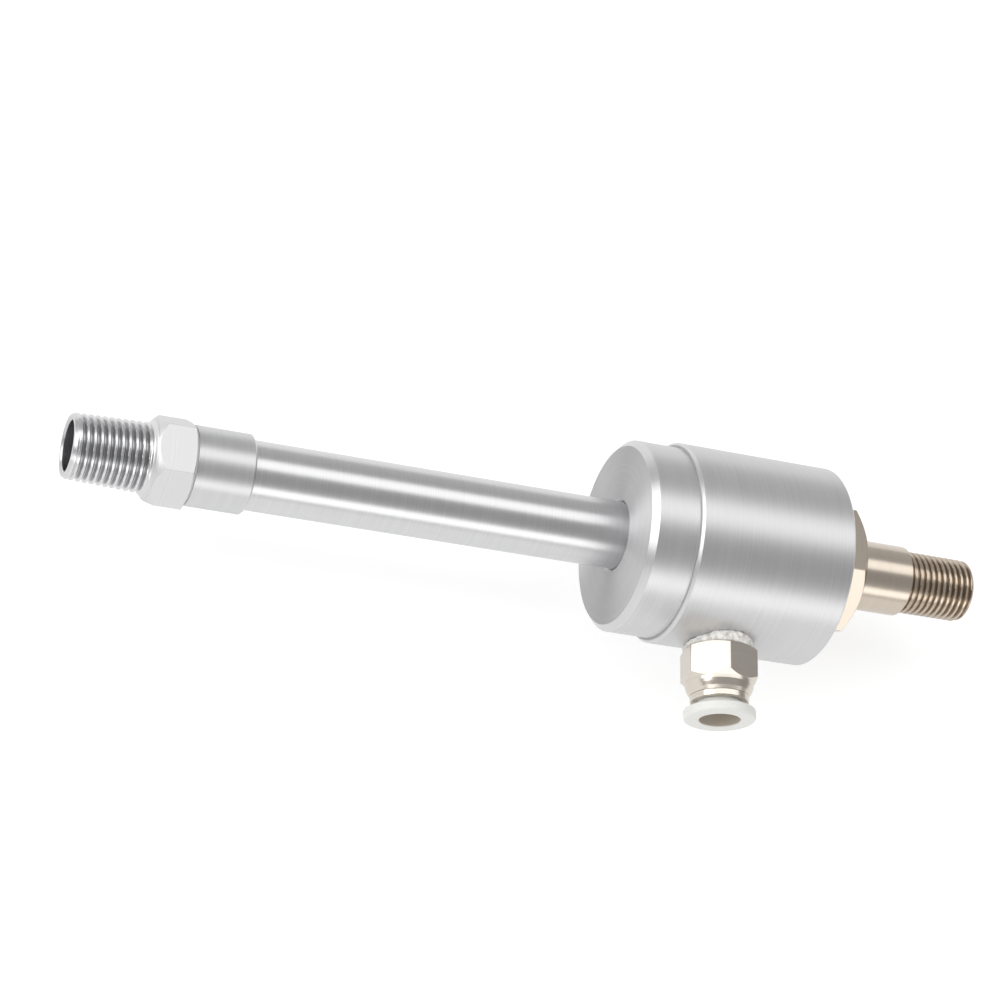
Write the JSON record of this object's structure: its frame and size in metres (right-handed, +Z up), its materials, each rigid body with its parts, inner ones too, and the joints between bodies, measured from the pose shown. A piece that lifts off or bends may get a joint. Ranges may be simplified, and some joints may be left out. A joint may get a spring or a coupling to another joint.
{
  "type": "vortex tube",
  "caption": "Vortex tube: turned body with a push-in air inlet on its side, a long hot tube ending in a threaded nipple, and a threaded cold outlet nipple.",
  "frame": {"origin": "centre of the outer face of the cold nipple's hexagon, which seats on what the cold nipple is screwed into or passes through", "axes": "+X along the tube, the way the cold air leaves; the air inlet points along -Y; +Z is up and square to both"},
  "size_m": [0.1925, 0.0566, 0.041],
  "materials": {
    "turned_aluminium": "turned, finely brushed around the axis",
    "milled_aluminium": "machined, satin",
    "nickel_plated_brass": "nickel plated, bright",
    "plain_brass": "machined",
    "spring_steel": "bright, stamped",
    "rubber": "black nitrile rubber",
    "gasket_fibre": "pressed fibre, grey",
    "sealant_tape": "white thread seal tape",
    "release_ring_plastic": "moulded acetal, pale grey"
  },
  "bodies": {
    "housing": {"main_body": "turned_aluminium", "end_cap": "turned_aluminium", "hot_tube": "turned_aluminium", "hot_end_sleeve": "turned_aluminium", "hot_end_gasket": "gasket_fibre", "hot_end_nipple": "milled_aluminium", "cold_nipple": "nickel_plated_brass", "inlet_fitting_body": "nickel_plated_brass", "thread_sealant": "sealant_tape", "retaining_bush": "nickel_plated_brass", "swirl_generator": "plain_brass", "cold_orifice": "plain_brass", "orifice_o_ring": "rubber", "cap_o_ring": "rubber", "tube_o_ring": "rubber", "cold_nipple_o_ring": "rubber", "hot_throttle": "plain_brass", "tube_seal": "rubber", "backup_ring": "plain_brass", "grab_ring": "spring_steel"},
    "push_ring": {"release_ring": "release_ring_plastic"}
  },
  "joints": [
    {"name": "release_ring_press", "type": "slide", "parent": "housing", "child": "push_ring", "axis": [0, 1, 0], "range_m": [0, 0.0008], "stiffness_N_per_m": 2000}
  ]
}
